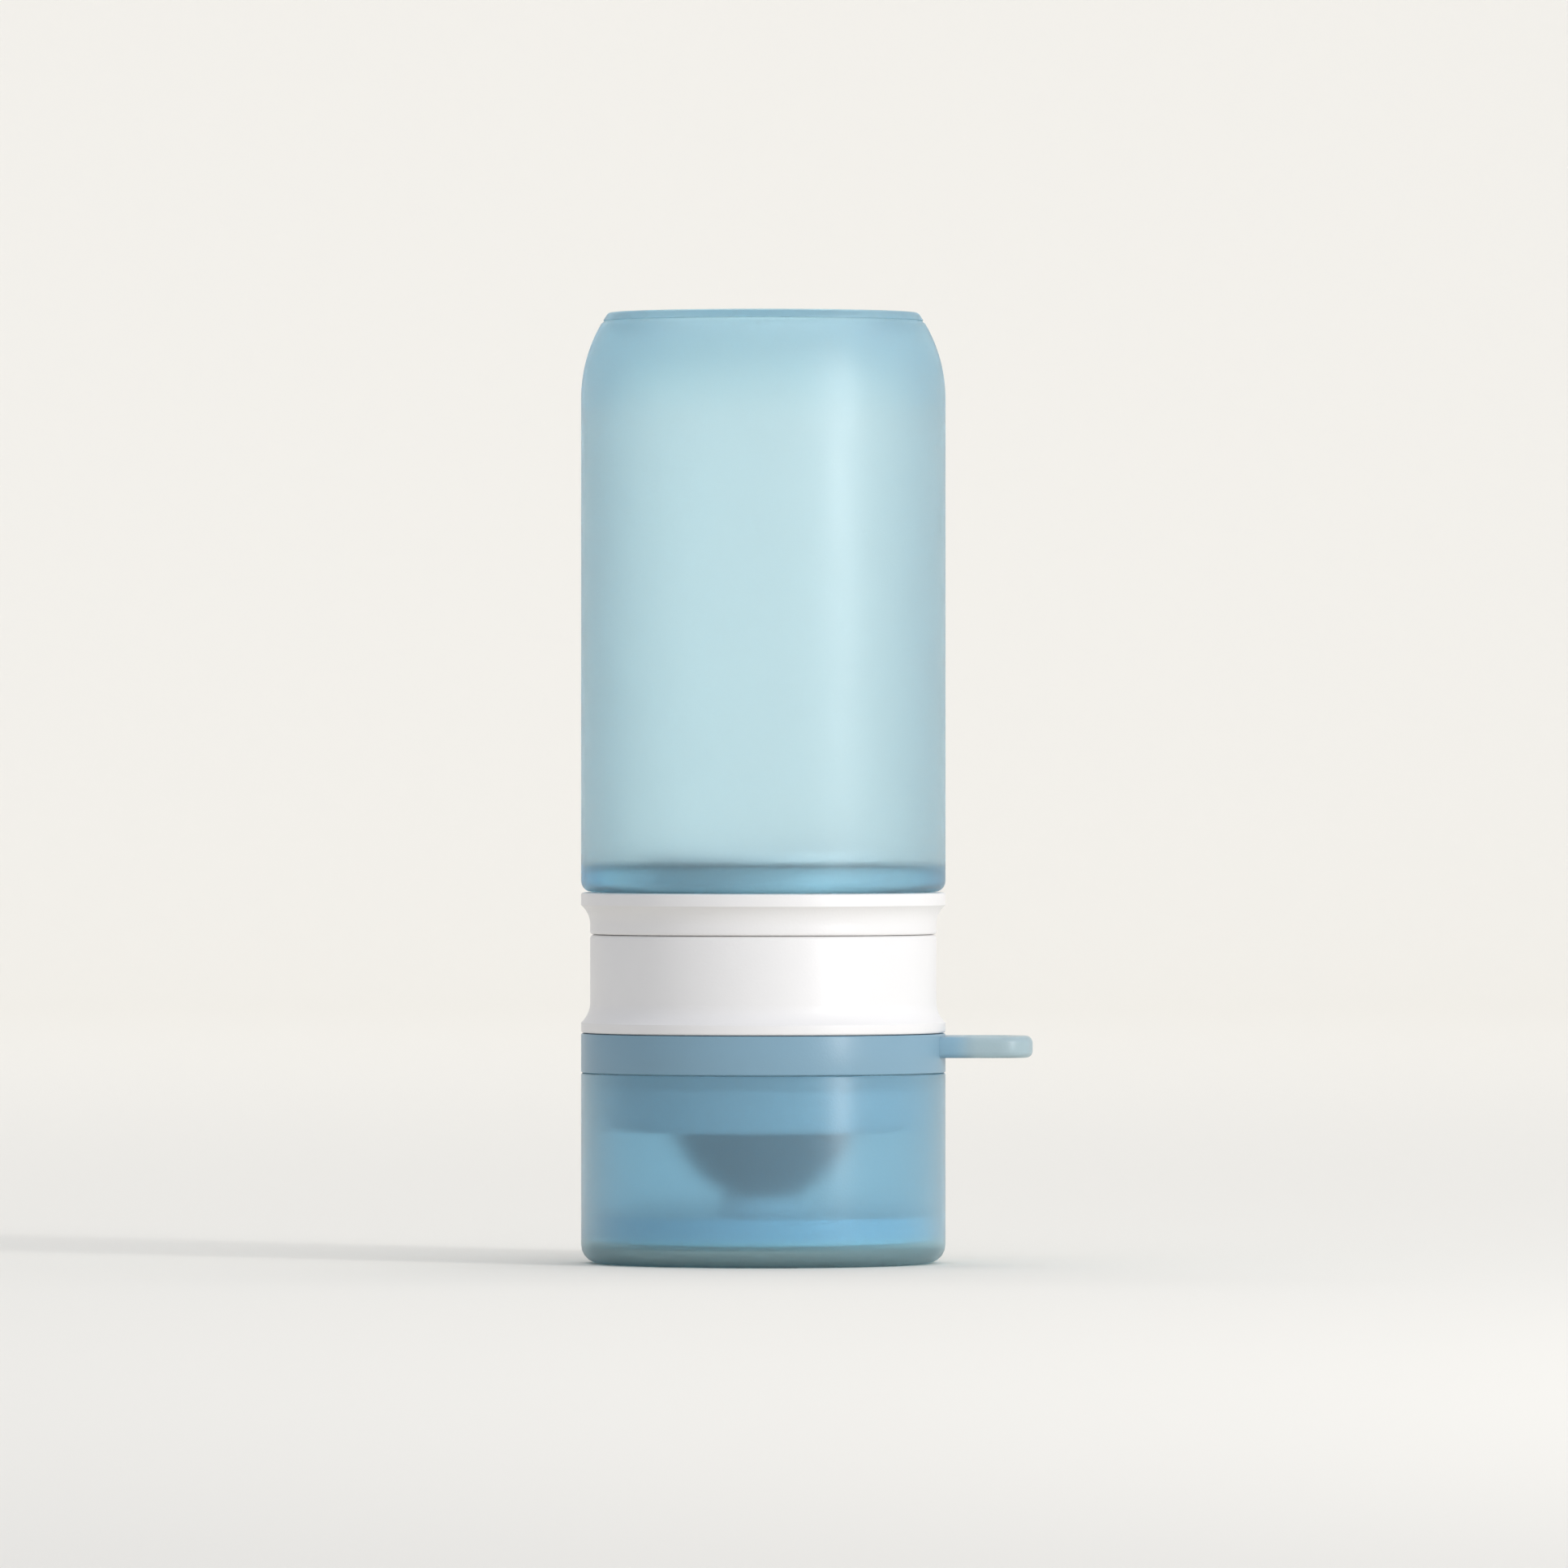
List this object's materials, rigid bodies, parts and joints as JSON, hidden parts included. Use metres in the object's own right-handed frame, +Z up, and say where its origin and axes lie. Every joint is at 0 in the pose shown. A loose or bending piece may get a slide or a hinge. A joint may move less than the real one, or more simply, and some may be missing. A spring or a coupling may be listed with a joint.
{
  "type": "applicator bottle",
  "caption": "Soft silicone squeeze bottle with a roll-on ball applicator, threaded white collar, hang loop and deep flip lid, standing head down on the lid.",
  "frame": {"origin": "centre of the lid's flat base, on which the closed bottle stands head down", "axes": "+Z up the bottle's axis, from the lid to the bottle's base; -Y to the front; +X towards the hang loop; +Y towards the lid's hinge"},
  "size_m": [0.0545, 0.0477, 0.1147],
  "materials": {
    "blue_silicone": "frosted translucent silicone, light blue, satin",
    "white_plastic": "satin white moulded polypropylene",
    "natural_plastic": "satin natural polypropylene",
    "seal_silicone": "soft matt silicone",
    "frosted_blue_plastic": "frosted translucent blue polypropylene",
    "ball_plastic": "polished blue-grey plastic",
    "steel": "plain drawn steel"
  },
  "bodies": {
    "lid": {"flip_lid": "frosted_blue_plastic", "lid_seal_pad": "seal_silicone"},
    "closure": {"closure_ring": "frosted_blue_plastic", "screw_collar": "white_plastic", "ball_housing": "natural_plastic", "slit_valve": "seal_silicone", "valve_retainer": "natural_plastic", "hinge_pin": "steel"},
    "ball": {"roller_ball": "ball_plastic"},
    "gasket": {"neck_gasket": "seal_silicone"},
    "bottle": {"squeeze_body": "blue_silicone", "neck_ring": "white_plastic", "neck_liner": "natural_plastic"}
  },
  "joints": [
    {"name": "lid_flip", "type": "hinge", "parent": "lid", "child": "closure", "pos_m": [0, 0.024, 0.02295], "axis": [-1, 0, 0], "range_deg": [0, 100]},
    {"name": "ball_roll", "type": "hinge", "parent": "closure", "child": "ball", "pos_m": [0, 0, 0.0193], "axis": [1, 0, 0], "continuous": true},
    {"name": "bottle_rise", "type": "slide", "parent": "closure", "child": "gasket", "axis": [0, 0, 1], "range_m": [0, 0.0034]},
    {"name": "bottle_turn", "type": "hinge", "parent": "gasket", "child": "bottle", "pos_m": [0, 0, 0.0341], "axis": [0, 0, 1], "range_deg": [0, 400]}
  ],
  "couplings": [
    {"joint": "bottle_rise", "follows": "bottle_turn", "m_per_rad": 0.00047746}
  ]
}
